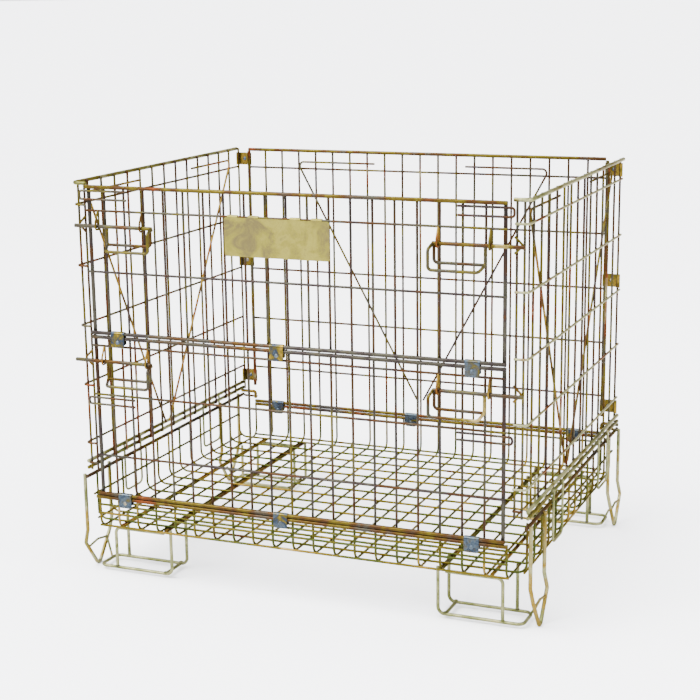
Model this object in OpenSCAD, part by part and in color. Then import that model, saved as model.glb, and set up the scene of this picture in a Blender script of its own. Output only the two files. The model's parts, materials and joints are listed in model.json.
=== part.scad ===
// Folding wire mesh container: a welded tray on four wire feet, two side panels and a back panel
// that fold inward, and a front in two leaves that drop outward. Each leaf has two sliding latches.

/* [Cage] */
// Distance between the upright wires of the two side panels
cage_w = 950; // [910:10:990]
// Distance between the upright wires of the front and back panels
cage_d = 752; // [720:4:800]
// Height over the top rods of the sides and back
cage_h = 840; // [840:5:900]
// Diameter of the mesh wires
mesh_wire = 5; // [4.6:0.1:5]
// Diameter of the hinge rails, rims, feet and latch rods
frame_rod = 8; // [7.6:0.1:8]

/* [Tray] */
// Height of the tray floor's lower wires
floor_z = 109; // [107:1:111]
// Bend radius where the floor wires turn up into the walls
floor_bend = 20; // [16:1:22]
// Height of the front rim of the tray
front_rim_z = 178; // [176:1:178]
// Height of the back rim of the tray
back_rim_z = 192.5; // [190:0.5:192.5]
// Height of the side rims of the tray
side_rim_z = 213; // [210:1:213]

/* [Panels] */
// Height of the hinge rail of the lower front leaf
front_hinge_z = 186.5; // [186.5:0.5:188]
// Height of the hinge rail between the two front leaves
mid_hinge_z = 532; // [530:1:540]
// Height of the hinge rail of the back panel
back_hinge_z = 201; // [201:0.5:203]
// Height of the lowest rod of the side panels
side_bottom_z = 231; // [230:1:233]
// Height of the top rod of the upper front leaf
gate_top_z = 831.5; // [825:0.5:835]

/* [Feet and latches] */
// Height of the rods of the feet above the ground
foot_z = 10; // [8:1:14]
// Distance that the stacking guides reach out from the side panels' wires
guide_out = 20.9; // [20.9:0.5:23.9]
// Distance from the front wires to the front bar of a latch handle
handle_out = 33; // [30:1:36]
// Length of a latch handle along its rod
handle_len = 101; // [90:1:105]

/* [Hidden] */
$fn = 24;

wire_colour = "darkkhaki";
rod_colour = "goldenrod";
dark_colour = "rosybrown";
clip_colour = "lightslategray";

mesh_r = mesh_wire / 2;
rod_r = frame_rod / 2;
foot_r = 3.5;
hook_r = 2;
bar_r = 3.2;
weld = 0.8;
gap = 0.05;
joint_over = 0.1;
layer = mesh_wire - weld;
rail_off = mesh_r + rod_r + gap;

back_reach = layer + mesh_r;
mid_y = (handle_out + bar_r - back_reach) / 2;
half_w = cage_w / 2;
half_d = cage_d / 2;
front_y = mid_y - half_d;
back_y = mid_y + half_d;

front_wires = 21;
front_pitch = (cage_w - 58) / (front_wires - 1);
floor_wires = 14;
floor_pitch = (cage_d - 76) / (floor_wires - 1);
side_wires = 14;
side_first_y = front_y + 57.25;
side_pitch = (back_y - side_first_y) / (side_wires - 1);

front_rail_y = front_y - rail_off;
front_wire_y = front_y - layer;
back_rail_y = back_y - rail_off;
back_wire_y = back_y + layer;
side_rod_x = half_w + rail_off;
wall_start = floor_bend + 4;
cross_z = floor_z + layer;
wall_over = 2;

top_rod_z = cage_h - rod_r;
level_pitch = 126;
side_levels = [for (i = [0:4]) cage_h - 48 - level_pitch * i];
gate_levels = [gate_top_z - 48.1, gate_top_z - 173.1];
lower_levels = [mid_hinge_z - 27.5, mid_hinge_z - 131.2, mid_hinge_z - 262];
lower_top_z = mid_hinge_z - 9;
front_wall_levels = [front_rim_z - 17.5, front_rim_z - 36];
back_wall_level = back_rim_z - 16.5;
side_wall_level = side_rim_z - 44.4;

edge_rod_x = half_w - 37;
front_end_x = half_w - 31;
wall_end_x = 10 * front_pitch + 4;
edge_rod_y = front_y + rod_r - mesh_r;

pivot_x = 10 * front_pitch;
end_rod_z = side_bottom_z + 9;
return_y = front_y + 14;
return_xs = [half_w - 19, half_w - 4.5];
return_bend = 10;
level_start_y = front_y + 20.5;
top_turn_y = return_y - 3;
top_turn_x = half_w - 25;
top_bend = 14;

clip_w = 30;
clip_t = 1.5;
clip_gap = 0.05;
clip_xs = [-8.5 * front_pitch, -0.5 * front_pitch, 8.5 * front_pitch];
rivet_r = 2.5;
rivet_head_r = 4.5;
rivet_head_t = 1.4;
low_clip = [26, 22, 15.6];
mid_clip = [28, 24, 17];
back_clip = [27, 21, 17];
corner_levels = [side_levels[0] + 20, side_levels[2] + 20, side_levels[4] - 23];
corner_inner = rod_r + 0.3;
corner_outer = corner_inner + clip_t;
corner_rivet_x = pivot_x + 14;
corner_head_t = 0.8;

latch_y = front_y - mesh_r - 9.9;
latch_in_x = 303;
latch_end_x = half_w + 4;
left_drawn = 13;
handle_end_x = latch_in_x + handle_len;
upper_latch_z = gate_top_z - 78.5;
lower_latch_z = mid_hinge_z - 58;
handle_drop = 47;
rear_bar_drop = 36;
hanger_xs = [latch_in_x + 9, handle_end_x + 9];

foot_out_y = half_d - 30;
foot_in_y = half_d - 96.5;
foot_end_x = half_w - 4;
foot_sink = 0.6;
foot_bend = 12;
runner_xs = [305, 410];
runner_z = cross_z - mesh_r - rod_r + gap;
foot_side_x = runner_xs[0] - rod_r - foot_r - 0.1;
foot_mid_x = 430;
foot_last_x = 10 * front_pitch - mesh_r - foot_r - gap;
hoop_top_z = runner_z - rod_r - foot_r - gap;

guide_leg_x = side_rod_x + 2 * rod_r;
guide_ys = [half_d - 13, half_d - 111];
guide_mid_y = half_d - 61;
guide_knee_z = 92;
guide_flare_z = 62;
guide_tip_x = half_w + guide_out;
guide_tip = 6;
guide_tie_z = 51;
guide_tie_reach = 33.5;

loop_x = side_rod_x + rod_r + mesh_r + 0.35;
loop_top_z = side_bottom_z + 11;
loop_spans = [[-200, -130, 131], [172, 256, 128]];

function unit(v) = v / norm(v);
function cut(p0, p1, p2, bend) = bend / tan(acos(unit(p0 - p1) * unit(p2 - p1)) / 2);
function spread(n, pitch) = [for (i = [0:n - 1]) (i - (n - 1) / 2) * pitch];
side_ys = [for (i = [0:side_wires - 1]) side_first_y + i * side_pitch];
inner_xs = spread(front_wires - 2, front_pitch);

// Straight round bar from a to b
module rod(a, b, r) {
  v = b - a;
  translate(a)
    rotate([0, acos(v[2] / norm(v)), atan2(v[1], v[0])])
      cylinder(r = r, h = norm(v));
}

// Round bend of a bar at the corner p1 between p0 and p2
module arc(p0, p1, p2, r, bend) {
  u = unit(p0 - p1);
  v = unit(p2 - p1);
  half = acos(u * v) / 2;
  c = p1 + unit(u + v) * (bend / sin(half));
  ex = unit(p1 + u * (bend / tan(half)) - c);
  ez = unit(cross(ex, p1 + v * (bend / tan(half)) - c));
  ey = cross(ez, ex);
  multmatrix([
    [ex[0], ey[0], ez[0], c[0]],
    [ex[1], ey[1], ez[1], c[1]],
    [ex[2], ey[2], ez[2], c[2]],
    [0, 0, 0, 1]
  ])
    rotate_extrude(angle = 180 - 2 * half)
      translate([bend, 0])
        circle(r);
}

// Bent wire through the points, with the same radius at every bend
module wire(pts, r, bend) {
  last = len(pts) - 1;
  for (i = [0:last - 1]) {
    along = unit(pts[i + 1] - pts[i]);
    a = i == 0 ? pts[0] : pts[i] + along * cut(pts[i - 1], pts[i], pts[i + 1], bend);
    b = i == last - 1 ? pts[last] : pts[i + 1] - along * cut(pts[i], pts[i + 1], pts[i + 2], bend);
    rod(a, b, r);
  }
  for (i = [1:last - 1])
    arc(pts[i - 1], pts[i], pts[i + 1], r, bend);
}

// Wire of straight lengths with a round joint at each corner, for bends that lie in no main plane
module bar_chain(pts, r) {
  last = len(pts) - 1;
  for (i = [0:last - 1])
    rod(pts[i], pts[i + 1], r);
  for (i = [1:last - 1])
    translate(pts[i])
      sphere(r + joint_over);
}

// Level wires along X at one depth
module x_wires(x, y, levels, r) {
  for (z = levels)
    rod([-x, y, z], [x, y, z], r);
}

// Upright wires at one depth
module uprights(xs, y, z0, z1, r) {
  for (x = xs)
    rod([x, y, z0], [x, y, z1], r);
}

// Draws the right-hand part as it is, or mirrored to the left
module on_side(side) {
  mirror([side < 0 ? 1 : 0, 0, 0])
    children();
}

// Draws the front right part, measured from the middle of the depth, at one of the four corners
module at_corner(side, end) {
  translate([0, mid_y, 0])
    mirror([side < 0 ? 1 : 0, 0, 0])
      mirror([0, end > 0 ? 1 : 0, 0])
        children();
}

// Floor grid: long wires from front to back with the cross wires on top
module tray_floor() {
  color(wire_colour) {
    for (x = spread(front_wires, front_pitch))
      rod([x, front_y + wall_start + gap, floor_z], [x, back_y - wall_start - gap, floor_z], mesh_r);
    reach = half_w - wall_start - gap;
    for (y = spread(floor_wires, floor_pitch))
      rod([-reach, mid_y + y, cross_z], [reach, mid_y + y, cross_z], mesh_r);
  }
}

// Wall made by the turned-up ends of the long floor wires; way is -1 at the front and 1 at the back
module end_wall(wall_y, way, top_z, levels) {
  color(wire_colour) {
    for (x = spread(front_wires, front_pitch))
      wire([
        [x, wall_y - way * wall_start, floor_z],
        [x, wall_y, floor_z],
        [x, wall_y, top_z]
      ], mesh_r, floor_bend);
    x_wires(wall_end_x, wall_y + way * layer, levels, mesh_r);
    edge = (floor_bend + layer) / sqrt(2);
    x_wires(wall_end_x, wall_y - way * (floor_bend - edge), [floor_z + floor_bend - edge], mesh_r);
  }
}

module tray_front_wall() {
  end_wall(front_y, -1, front_rim_z + wall_over, front_wall_levels);
}

module tray_back_wall() {
  end_wall(back_y, 1, back_rim_z + wall_over, [back_wall_level]);
}

// Wall made by the turned-up ends of the cross wires
module side_wall(side) {
  color(wire_colour)
    on_side(side) {
      for (y = spread(floor_wires, floor_pitch))
        wire([
          [half_w - wall_start, mid_y + y, cross_z],
          [half_w, mid_y + y, cross_z],
          [half_w, mid_y + y, side_rim_z + wall_over]
        ], mesh_r, floor_bend);
      reach = half_d - 30;
      wire_x = half_w + layer;
      rod([wire_x, mid_y - reach, side_wall_level], [wire_x, mid_y + reach, side_wall_level], mesh_r);
      edge = (floor_bend + layer) / sqrt(2);
      x = half_w - floor_bend + edge;
      z = cross_z + floor_bend - edge;
      rod([x, mid_y - reach, z], [x, mid_y + reach, z], mesh_r);
    }
}

// Rim rods of the tray, one on each wall
module tray_rims() {
  color(rod_colour) {
    x_wires(front_end_x + 6, front_rail_y, [front_rim_z], rod_r);
    x_wires(front_end_x, back_rail_y, [back_rim_z], rod_r);
    for (side = [-1, 1])
      rod([side * side_rod_x, front_y + 8, side_rim_z], [side * side_rod_x, back_y + 4, side_rim_z], rod_r);
  }
}

// Stiffening rods under the floor that carry the feet
module floor_runners() {
  color(rod_colour)
    for (side = [-1, 1])
      for (x = side * runner_xs)
        rod([x, mid_y - foot_out_y - 8, runner_z], [x, mid_y + foot_out_y + 8, runner_z], rod_r);
}

// Wire foot: two hoops joined by a long floor loop that sticks out under the side wall
module foot() {
  leg_top = floor_z - 1;
  link_x = foot_side_x + 15;
  color(rod_colour) {
    wire([
      [foot_side_x, -foot_out_y, leg_top],
      [foot_side_x, -foot_out_y, foot_z],
      [foot_end_x, -foot_out_y, foot_z],
      [foot_end_x, -foot_in_y, foot_z],
      [foot_side_x, -foot_in_y, foot_z],
      [foot_side_x, -foot_in_y, leg_top]
    ], foot_r, foot_bend);
    wire([
      [link_x, -foot_out_y, hoop_top_z],
      [foot_mid_x, -foot_out_y, hoop_top_z],
      [foot_mid_x, -foot_out_y, foot_z + foot_sink]
    ], foot_r, foot_bend);
    rod([foot_last_x, -foot_in_y, leg_top], [foot_last_x, -foot_in_y, foot_z + foot_sink], foot_r);
    rod([link_x, foot_sink - foot_out_y, foot_z], [link_x, -foot_in_y - foot_sink, foot_z], foot_r);
    rod([foot_end_x, -foot_in_y - 20, foot_z], [guide_tip_x - rod_r - 3, -foot_in_y - 7.5, 46], mesh_r);
  }
}

// Stacking guide: a V that hangs below the side wall and drops over the rim of the container beneath
module guide() {
  top_z = side_rim_z + rod_r;
  tip_z = rod_r + joint_over;
  color(wire_colour) {
    bar_chain([
      [guide_leg_x, -guide_ys[0], top_z],
      [guide_leg_x, -guide_ys[0], guide_knee_z],
      [guide_tip_x, -guide_ys[0], guide_flare_z],
      [guide_tip_x, -guide_mid_y - guide_tip, tip_z],
      [guide_tip_x, -guide_mid_y + guide_tip, tip_z],
      [guide_tip_x, -guide_ys[1], guide_flare_z],
      [guide_leg_x, -guide_ys[1], guide_knee_z],
      [guide_leg_x, -guide_ys[1], top_z]
    ], rod_r);
    translate([guide_tip_x, -guide_mid_y, guide_tie_z])
      rotate([90, 0, 0])
        cylinder(r = mesh_r, h = 2 * guide_tie_reach, center = true);
  }
}

// Upright loops outside the side wall that stop the side panel's bottom rods from being pushed out
module retaining_loops(side) {
  color(dark_colour)
    on_side(side)
      for (span = loop_spans)
        wire([
          [loop_x, mid_y + span[0], loop_top_z],
          [loop_x, mid_y + span[0], span[2]],
          [loop_x, mid_y + span[1], span[2]],
          [loop_x, mid_y + span[1], loop_top_z]
        ], mesh_r, 12);
}

// Rings at the back corners that the side panels' pivot pins stand in
module pivot_eyes() {
  ring_r = 6.5;
  ring_z = side_rim_z - 5;
  ring_h = 6;
  stem_z = ring_z + ring_h / 2;
  color(rod_colour)
    for (side = [-1, 1])
      on_side(side)
        difference() {
          union() {
            translate([pivot_x, back_y, ring_z])
              cylinder(r = ring_r, h = ring_h);
            rod([pivot_x, back_y, stem_z], [side_rod_x - rod_r - gap, back_y, stem_z], 2.8);
          }
          translate([pivot_x, back_y, ring_z - 1])
            cylinder(r = rod_r + 0.1, h = ring_h + 2);
        }
}

// Folded sheet over a hinge rail at depth y and height z; legs holds its front leg, back leg and rivet drop
module hinge_clip(x, y, z, legs) {
  inner = rod_r + clip_gap;
  outer = inner + clip_t;
  color(clip_colour)
    difference() {
      translate([x - clip_w / 2, y, z])
        rotate([90, 0, 90])
          linear_extrude(clip_w)
            difference() {
              union() {
                circle(outer);
                translate([-outer, -legs[0]])
                  square([clip_t, legs[0]]);
                translate([outer - clip_t, -legs[1]])
                  square([clip_t, legs[1]]);
              }
              circle(inner);
              translate([-inner, -outer - 1])
                square([2 * inner, outer + 1]);
            }
      translate([x, y + outer + 1, z - legs[2]])
        rotate([90, 0, 0])
          cylinder(r = rivet_r + gap, h = 2 * outer + 2);
    }
}

// Rivet through both legs of a hinge clip
module clip_rivet(x, y, z) {
  reach = rod_r + clip_gap + clip_t + gap;
  color("silver")
    translate([x, y, z])
      rotate([90, 0, 0]) {
        translate([0, 0, -reach])
          cylinder(r = rivet_r, h = 2 * reach);
        for (end = [-reach - rivet_head_t, reach])
          translate([0, 0, end])
            cylinder(r = rivet_head_r, h = rivet_head_t);
      }
}

module front_hinge_clips() {
  for (x = clip_xs)
    hinge_clip(x, front_rail_y, front_hinge_z, low_clip);
}

module back_hinge_clips() {
  for (x = clip_xs)
    hinge_clip(x, back_rail_y, back_hinge_z, back_clip);
}

module hinge_clip_rivets() {
  for (x = clip_xs) {
    clip_rivet(x, front_rail_y, front_hinge_z - low_clip[2]);
    clip_rivet(x, back_rail_y, back_hinge_z - back_clip[2]);
  }
}

// One leaf of the front: inner uprights, two thicker edge rods and level wires in front of them
module front_leaf(z0, z1, levels) {
  color(wire_colour) {
    uprights(inner_xs, front_y, z0, z1, mesh_r);
    uprights([-edge_rod_x, edge_rod_x], edge_rod_y, z0, z1, rod_r);
    x_wires(front_end_x, front_wire_y, levels, mesh_r);
  }
}

module lower_front_mesh() {
  front_leaf(front_hinge_z - wall_over, lower_top_z + wall_over, lower_levels);
}

module lower_front_rails() {
  color(dark_colour)
    x_wires(front_end_x, front_rail_y, [front_hinge_z, lower_top_z], rod_r);
}

module mid_hinge_clips() {
  for (x = clip_xs)
    hinge_clip(x, front_rail_y, mid_hinge_z, mid_clip);
}

module mid_clip_rivets() {
  for (x = clip_xs)
    clip_rivet(x, front_rail_y, mid_hinge_z - mid_clip[2]);
}

// Loop of wire that hangs from a level wire of the leaf and carries a latch rod
module hanger(x, wire_z, latch_z) {
  slack = 0.6;
  back = latch_y + rod_r + slack + hook_r;
  front = latch_y - rod_r - slack - hook_r;
  bottom = latch_z - rod_r - slack - hook_r;
  color(wire_colour)
    bar_chain([
      [x, back, wire_z - mesh_r - gap],
      [x, back, bottom],
      [x, front, bottom],
      [x, front, latch_z + 9],
      [x, front_wire_y - mesh_r - hook_r - gap, wire_z]
    ], hook_r);
}

module latch_hangers(wire_z, latch_z) {
  for (side = [-1, 1])
    for (x = hanger_xs)
      hanger(side * x, wire_z, latch_z);
}

module lower_latch_hangers() {
  latch_hangers(lower_levels[0], lower_latch_z);
}

module upper_latch_hangers() {
  latch_hangers(gate_levels[0], upper_latch_z);
}

// Flat U of wire on each end of a leaf that laps in front of the side panel's return
module hairpins(z0, z1) {
  start_x = 8 * front_pitch - 9;
  end_x = half_w - 19;
  y = front_y - mesh_r - mesh_r - gap;
  color(wire_colour)
    for (side = [-1, 1])
      on_side(side)
        wire([[start_x, y, z0], [end_x, y, z0], [end_x, y, z1], [start_x, y, z1]], mesh_r, 5);
}

module lower_hairpins() {
  hairpins(lower_levels[1] - 21, lower_levels[1] - 7);
}

module upper_hairpins() {
  hairpins(gate_top_z - 25.5, gate_top_z - 8.5);
}

module upper_gate_mesh() {
  front_leaf(mid_hinge_z - wall_over, gate_top_z + wall_over, gate_levels);
}

module upper_gate_rails() {
  color(dark_colour)
    x_wires(front_end_x, front_rail_y, [mid_hinge_z, gate_top_z], rod_r);
}

// Blank sheet plate with four tabs curled over the upper level wire of the gate
module name_plate() {
  plate_w = 5 * front_pitch;
  plate_x = -0.4 * front_pitch;
  plate_h = 77;
  inner = mesh_r + 0.1;
  outer = inner + clip_t;
  wire_z = gate_levels[0];
  color("darkkhaki") {
    translate([plate_x - plate_w / 2, front_wire_y - outer, wire_z - plate_h])
      cube([plate_w, clip_t, plate_h]);
    for (i = [-2.5, -1.5, 0.5, 1.5])
      translate([i * front_pitch - 11, front_wire_y, wire_z])
        rotate([90, 0, 90])
          linear_extrude(22)
            difference() {
              circle(outer);
              circle(inner);
              translate([-outer, -outer])
                square([2 * outer, outer]);
            }
  }
}

// Back panel: uprights, end rods at the corners, and level wires behind them
module back_mesh() {
  color(wire_colour) {
    uprights(inner_xs, back_y, back_hinge_z - wall_over, top_rod_z + wall_over, mesh_r);
    uprights([-pivot_x, pivot_x], back_y, end_rod_z, top_rod_z - rod_r - gap, rod_r);
    x_wires(pivot_x + 3, back_wire_y, side_levels, mesh_r);
  }
}

module back_rails() {
  color(dark_colour)
    x_wires(front_end_x, back_rail_y, [back_hinge_z, top_rod_z], rod_r);
}

// Bent brace wires inside the back panel, one on each half
module back_braces() {
  y = back_y - mesh_r - mesh_r - gap;
  top_z = side_levels[0] + 17;
  color(rod_colour)
    for (side = [-1, 1])
      on_side(side)
        bar_chain([[113, y, top_z], [314, y, top_z], [8, y, back_hinge_z + 40]], mesh_r);
}

// Flat part of a side panel: uprights with level wires outside them
module side_mesh(side) {
  color(wire_colour)
    on_side(side) {
      for (y = side_ys)
        rod([half_w, y, side_bottom_z - wall_over], [half_w, y, top_rod_z + wall_over], mesh_r);
      for (z = side_levels)
        rod([half_w + layer, level_start_y, z], [half_w + layer, back_y + 4, z], mesh_r);
    }
}

// Top rod of a side panel, turned in over the front edge, and the two bottom rods
module side_rods(side) {
  x = side_rod_x;
  color(dark_colour)
    on_side(side) {
      wire([
        [x, back_y + 4, top_rod_z],
        [x, top_turn_y, top_rod_z],
        [top_turn_x, top_turn_y, top_rod_z]
      ], rod_r, top_bend);
      for (z = [side_bottom_z + 14, side_bottom_z])
        rod([x, level_start_y - 4, z], [x, back_y + 4, z], rod_r);
    }
}

// Turned-in front edge of a side panel: two uprights and the bent ends of the level wires
module front_return(side) {
  x = half_w + layer;
  y = return_y - layer;
  end_x = return_xs[0] - 3;
  foot_rod_z = side_bottom_z + 14;
  color(rod_colour)
    on_side(side) {
      uprights(return_xs, return_y, side_bottom_z - wall_over, top_rod_z - rod_r - gap, mesh_r);
      for (z = side_levels)
        wire([[x, level_start_y - gap, z], [x, y, z], [end_x, y, z]], mesh_r, return_bend);
      rod([end_x, y, foot_rod_z], [return_xs[1] + 3, y, foot_rod_z], mesh_r);
    }
}

// Two bent brace wires inside a side panel that lean towards each other
module side_brace(side) {
  x = half_w - mesh_r - mesh_r - gap;
  top_z = side_levels[0] + 22;
  foot_y = mid_y - 35;
  color(rod_colour)
    on_side(side) {
      bar_chain([
        [x, mid_y - 118, top_z],
        [x, mid_y - 330, top_z],
        [x, foot_y - 8, side_bottom_z + 18]
      ], mesh_r);
      bar_chain([
        [x, mid_y + 122, top_z],
        [x, mid_y + 322, top_z],
        [x, foot_y + 8, side_bottom_z + 18]
      ], mesh_r);
    }
}

// Folded corner clips: each hooks round the side panel's last upright and cups the back's end rod
module corner_clips(side) {
  leaf = half_w - pivot_x;
  far = corner_outer + 1;
  color(clip_colour)
    on_side(side)
      for (z = corner_levels)
        difference() {
          translate([pivot_x, back_y, z - clip_w / 2])
            linear_extrude(clip_w)
              difference() {
                union() {
                  circle(corner_outer);
                  translate([leaf, 0])
                    circle(corner_outer);
                  translate([0, corner_inner])
                    square([leaf, clip_t]);
                }
                circle(corner_inner);
                translate([leaf, 0])
                  circle(corner_inner);
                translate([-far, -far])
                  square([far + leaf, far]);
                translate([0, -1])
                  square([leaf, 1 + corner_inner]);
              }
          translate([corner_rivet_x, back_y + far, z])
            rotate([90, 0, 0])
              cylinder(r = rivet_r + gap, h = far);
        }
}

// Rivets through the leaves of the corner clips
module side_clip_rivets(side) {
  color("silver")
    on_side(side)
      for (z = corner_levels)
        translate([corner_rivet_x, back_y, z])
          rotate([-90, 0, 0]) {
            translate([0, 0, corner_inner - gap])
              cylinder(r = rivet_r, h = clip_t + 2 * gap);
            translate([0, 0, corner_inner - gap - rivet_head_t])
              cylinder(r = rivet_head_r, h = rivet_head_t);
            translate([0, 0, corner_outer + gap])
              cylinder(r = rivet_head_r, h = corner_head_t);
          }
}

// V-shaped wires on the return, where the latch rods pass
module keepers(side) {
  y = return_y - mesh_r - mesh_r - gap;
  color(rod_colour)
    on_side(side)
      for (z = [upper_latch_z, lower_latch_z])
        bar_chain([[half_w - 22, y, z + 16], [half_w - 6, y, z], [half_w - 22, y, z - 16]], mesh_r);
}

// Bent pin under the bottom rod of a side panel, down into its eye on the tray
module pivot_pin(side) {
  z = side_bottom_z - 2 * rod_r - gap;
  color(rod_colour)
    on_side(side)
      wire([
        [side_rod_x + rod_r, back_y, z],
        [pivot_x, back_y, z],
        [pivot_x, back_y, side_rim_z - 7]
      ], rod_r, 5);
}

// Sliding latch: a rod with a bent handle of two bars below it, drawn back towards the middle
module latch(side, z, drawn = 0) {
  front = front_y - handle_out;
  bar_z = z - handle_drop;
  rear_z = z - rear_bar_drop;
  color(rod_colour)
    on_side(side)
      translate([-drawn, 0, 0]) {
        rod([latch_in_x - 2, latch_y, z], [latch_end_x, latch_y, z], rod_r);
        bar_chain([
          [latch_in_x, latch_y, z],
          [latch_in_x - 3, front, z - 9],
          [latch_in_x - 3, front, bar_z],
          [handle_end_x - 7, front, bar_z],
          [handle_end_x, latch_y, rear_z],
          [handle_end_x, latch_y, z]
        ], bar_r);
        bar_chain([
          [handle_end_x, latch_y, rear_z],
          [latch_in_x + 2, latch_y, rear_z],
          [latch_in_x + 2, latch_y, z]
        ], bar_r);
      }
}

tray_floor();
tray_front_wall();
tray_back_wall();
side_wall(-1);  // tray_left_wall
side_wall(1);  // tray_right_wall
tray_rims();
floor_runners();
at_corner(-1, -1) foot();  // foot_front_left
at_corner(1, -1) foot();  // foot_front_right
at_corner(-1, 1) foot();  // foot_back_left
at_corner(1, 1) foot();  // foot_back_right
at_corner(-1, -1) guide();  // guide_front_left
at_corner(1, -1) guide();  // guide_front_right
at_corner(-1, 1) guide();  // guide_back_left
at_corner(1, 1) guide();  // guide_back_right
retaining_loops(-1);  // left_retaining_loops
retaining_loops(1);  // right_retaining_loops
pivot_eyes();
front_hinge_clips();
back_hinge_clips();
hinge_clip_rivets();
lower_front_mesh();
lower_front_rails();
mid_hinge_clips();
mid_clip_rivets();
lower_latch_hangers();
lower_hairpins();
upper_gate_mesh();
upper_gate_rails();
upper_latch_hangers();
upper_hairpins();
name_plate();
back_mesh();
back_rails();
back_braces();
side_mesh(-1);  // left_side_mesh
side_rods(-1);  // left_side_rods
front_return(-1);  // left_front_return
side_brace(-1);  // left_brace
corner_clips(-1);  // left_corner_clips
side_clip_rivets(-1);  // left_clip_rivets
keepers(-1);  // left_keepers
pivot_pin(-1);  // left_pivot_pin
side_mesh(1);  // right_side_mesh
side_rods(1);  // right_side_rods
front_return(1);  // right_front_return
side_brace(1);  // right_brace
corner_clips(1);  // right_corner_clips
side_clip_rivets(1);  // right_clip_rivets
keepers(1);  // right_keepers
pivot_pin(1);  // right_pivot_pin
latch(-1, upper_latch_z, left_drawn);  // upper_left_latch
latch(1, upper_latch_z);  // upper_right_latch
latch(-1, lower_latch_z);  // lower_left_latch
latch(1, lower_latch_z);  // lower_right_latch
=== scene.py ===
"""Finished wire, rod and sheet metal of the folding mesh container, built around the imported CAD."""

import json
import math

import bpy
import numpy as np
from mathutils import Matrix, Vector


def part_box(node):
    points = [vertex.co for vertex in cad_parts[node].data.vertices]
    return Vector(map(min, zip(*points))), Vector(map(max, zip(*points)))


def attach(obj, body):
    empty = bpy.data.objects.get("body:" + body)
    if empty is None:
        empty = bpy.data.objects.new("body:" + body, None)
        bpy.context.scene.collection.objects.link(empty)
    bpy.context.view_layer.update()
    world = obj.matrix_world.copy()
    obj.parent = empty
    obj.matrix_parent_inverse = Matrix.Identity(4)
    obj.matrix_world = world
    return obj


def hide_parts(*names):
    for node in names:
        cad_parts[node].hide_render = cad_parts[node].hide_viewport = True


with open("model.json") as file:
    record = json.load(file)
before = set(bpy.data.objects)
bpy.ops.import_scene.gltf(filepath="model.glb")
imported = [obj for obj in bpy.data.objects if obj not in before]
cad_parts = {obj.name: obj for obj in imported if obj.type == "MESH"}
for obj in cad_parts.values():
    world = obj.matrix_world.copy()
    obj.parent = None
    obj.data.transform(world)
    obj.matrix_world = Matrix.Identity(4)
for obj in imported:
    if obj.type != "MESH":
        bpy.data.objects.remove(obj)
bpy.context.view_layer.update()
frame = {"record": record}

# ---- Sizes that the CAD uses, in metres ----
WIRE = 0.0025
ROD = 0.004
FOOT_ROD = 0.0035
HOOK_WIRE = 0.002
HANDLE_WIRE = 0.0032
LAYER = 0.0042
SHEET = 0.0015
WELD = (0.0031, 0.0016)
ROD_WELD = 0.0034
FOOT_WELD = (0.0052, 0.0052, 0.0026)
RAIL_OFF = 0.00655
LEVEL_OVER = 0.004
FLOOR_BEND = 0.020
OVERHANG = 0.002
RETURN_GAP = 0.0045
INNER_RUNNER_X = 0.305
LATCH_OUT = 0.0124
HANDLE_OUT = 0.033
LATCH_IN = 0.303
HANDLE_LEN = 0.101
HANDLE_END = LATCH_IN + HANDLE_LEN
HANGER_XS = (LATCH_IN + 0.009, HANDLE_END + 0.009)
CLIP_HALF = 0.015
LONG_WIRES = 21
CROSS_WIRES = 14
SIDE_WIRES = 14

# ---- Places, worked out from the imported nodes' boxes ----
side_low, side_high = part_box("right_side_mesh")
back_low, back_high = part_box("back_mesh")
lower_low, lower_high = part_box("lower_front_mesh")
gate_low, gate_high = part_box("upper_gate_mesh")
floor_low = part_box("tray_floor")[0]
front_wall_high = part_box("tray_front_wall")[1]
back_wall_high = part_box("tray_back_wall")[1]
side_wall_low, side_wall_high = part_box("tray_right_wall")

half_w = side_high[0] - LAYER - WIRE
front_y = lower_low[1] + LAYER + WIRE
back_y = back_high[1] - LAYER - WIRE
mid_y = (front_y + back_y) / 2
pitch = (front_wall_high[0] - LEVEL_OVER) / 10
floor_pitch = (back_y - front_y - 0.076) / (CROSS_WIRES - 1)
side_first_y = front_y + 0.05725
side_pitch = (back_y - side_first_y) / (SIDE_WIRES - 1)
end_x = lower_high[0]
pivot_x = 10 * pitch
half_depth = (back_y - front_y) / 2
latch_y = front_y - LATCH_OUT
upper_latch_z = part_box("upper_right_latch")[1][2] - ROD
lower_latch_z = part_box("lower_right_latch")[1][2] - ROD
floor_z = floor_low[2] + WIRE
cross_z = floor_z + LAYER
top_rod_z = side_high[2] - OVERHANG
rail_front_y = front_y - RAIL_OFF
rail_back_y = back_y - RAIL_OFF
rod_side_x = half_w + RAIL_OFF
side_levels = [top_rod_z + ROD - 0.048 - 0.126 * i for i in range(5)]
side_bottom = side_low[2] + OVERHANG
front_hinge_z = lower_low[2] + OVERHANG
lower_top_z = lower_high[2] - OVERHANG
mid_hinge_z = gate_low[2] + OVERHANG
gate_top_z = gate_high[2] - OVERHANG
back_hinge_z = back_low[2] + OVERHANG
gate_levels = [gate_top_z - 0.0481, gate_top_z - 0.1731]
lower_levels = [mid_hinge_z - 0.0275, mid_hinge_z - 0.1312, mid_hinge_z - 0.262]

BODY_OF = {n: body for body, nodes in frame["record"]["behaviour"]["bodies"].items() for n in nodes}
SLOT_OF = {part["node"]: part["material_slot"] for part in frame["record"]["subparts"]}
random = np.random.default_rng(7)


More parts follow.
